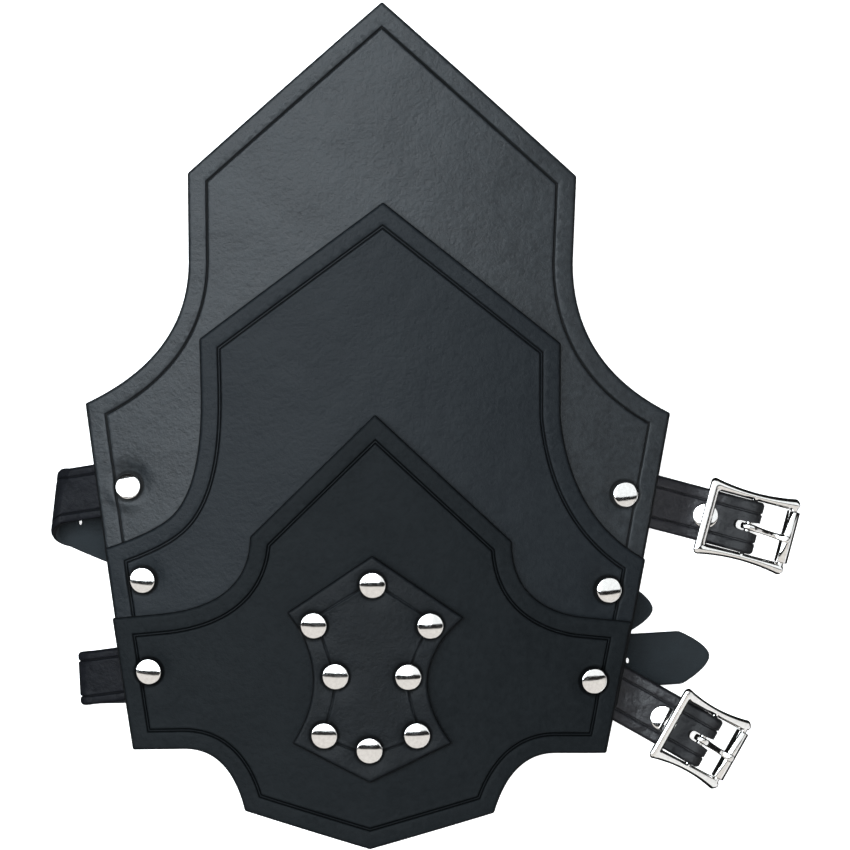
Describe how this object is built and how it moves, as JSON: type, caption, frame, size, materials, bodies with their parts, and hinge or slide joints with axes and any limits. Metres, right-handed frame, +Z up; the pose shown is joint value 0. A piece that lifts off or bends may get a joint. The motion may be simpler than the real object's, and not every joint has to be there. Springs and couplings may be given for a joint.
{
  "type": "leather vambrace",
  "caption": "Arched forearm guard of layered, riveted black leather plates with a waisted badge, long straps with tongue holes and roller buckles on short chapes.",
  "frame": {"origin": "on the table under the middle of the whole piece, seen from above", "axes": "+X across the forearm towards the buckles, +Y along the forearm from the wrist end to the elbow point, +Z up, out of the outer face"},
  "size_m": [0.2718, 0.2992, 0.0518],
  "materials": {
    "plate_leather": "dyed black, burnished, semi-gloss",
    "strap_leather": "dyed black, smooth outside, suede inside",
    "nickel": "polished nickel plate"
  },
  "bodies": {
    "vambrace": {"main_plate": "plate_leather", "middle_plate": "plate_leather", "lower_plate": "plate_leather", "badge_plate": "plate_leather", "badge_rivet_top": "nickel", "badge_rivet_left_shoulder": "nickel", "badge_rivet_right_shoulder": "nickel", "badge_rivet_left_waist": "nickel", "badge_rivet_right_waist": "nickel", "badge_rivet_left_foot": "nickel", "badge_rivet_right_foot": "nickel", "badge_rivet_bottom": "nickel", "side_rivet_main_left": "nickel", "side_rivet_main_right": "nickel", "side_rivet_middle_left": "nickel", "side_rivet_middle_right": "nickel", "side_rivet_lower_left": "nickel", "side_rivet_lower_right": "nickel", "strap_upper": "strap_leather", "strap_lower": "strap_leather", "chape_upper": "strap_leather", "chape_rivet_upper": "nickel", "chape_lower": "strap_leather", "chape_rivet_lower": "nickel"},
    "buckle_upper": {"buckle_frame_upper": "nickel"},
    "roller_upper": {"buckle_roller_upper": "nickel"},
    "tongue_upper": {"buckle_tongue_upper": "nickel"},
    "buckle_lower": {"buckle_frame_lower": "nickel"},
    "roller_lower": {"buckle_roller_lower": "nickel"},
    "tongue_lower": {"buckle_tongue_lower": "nickel"}
  },
  "joints": [
    {"name": "buckle_upper_swing", "type": "hinge", "parent": "vambrace", "child": "buckle_upper", "pos_m": [0.11591, -0.03583, 0.00657], "axis": [0.2571, 0.9664, 0], "range_deg": [-2, 130]},
    {"name": "roller_upper_spin", "type": "hinge", "parent": "buckle_upper", "child": "roller_upper", "pos_m": [0.13044, -0.0397, 0.0024], "axis": [0.2571, 0.9664, 0], "continuous": true},
    {"name": "tongue_upper_lift", "type": "hinge", "parent": "buckle_upper", "child": "tongue_upper", "pos_m": [0.11591, -0.03583, 0.00657], "axis": [-0.2571, -0.9664, 0], "range_deg": [0, 130]},
    {"name": "buckle_lower_swing", "type": "hinge", "parent": "vambrace", "child": "buckle_lower", "pos_m": [0.09868, -0.11254, 0.01157], "axis": [0.4909, 0.8712, 0], "range_deg": [-22, 108]},
    {"name": "roller_lower_spin", "type": "hinge", "parent": "buckle_lower", "child": "roller_lower", "pos_m": [0.10968, -0.11874, 0.0024], "axis": [0.4909, 0.8712, 0], "continuous": true},
    {"name": "tongue_lower_lift", "type": "hinge", "parent": "buckle_lower", "child": "tongue_lower", "pos_m": [0.09868, -0.11254, 0.01157], "axis": [-0.4909, -0.8712, 0], "range_deg": [0, 130]}
  ]
}
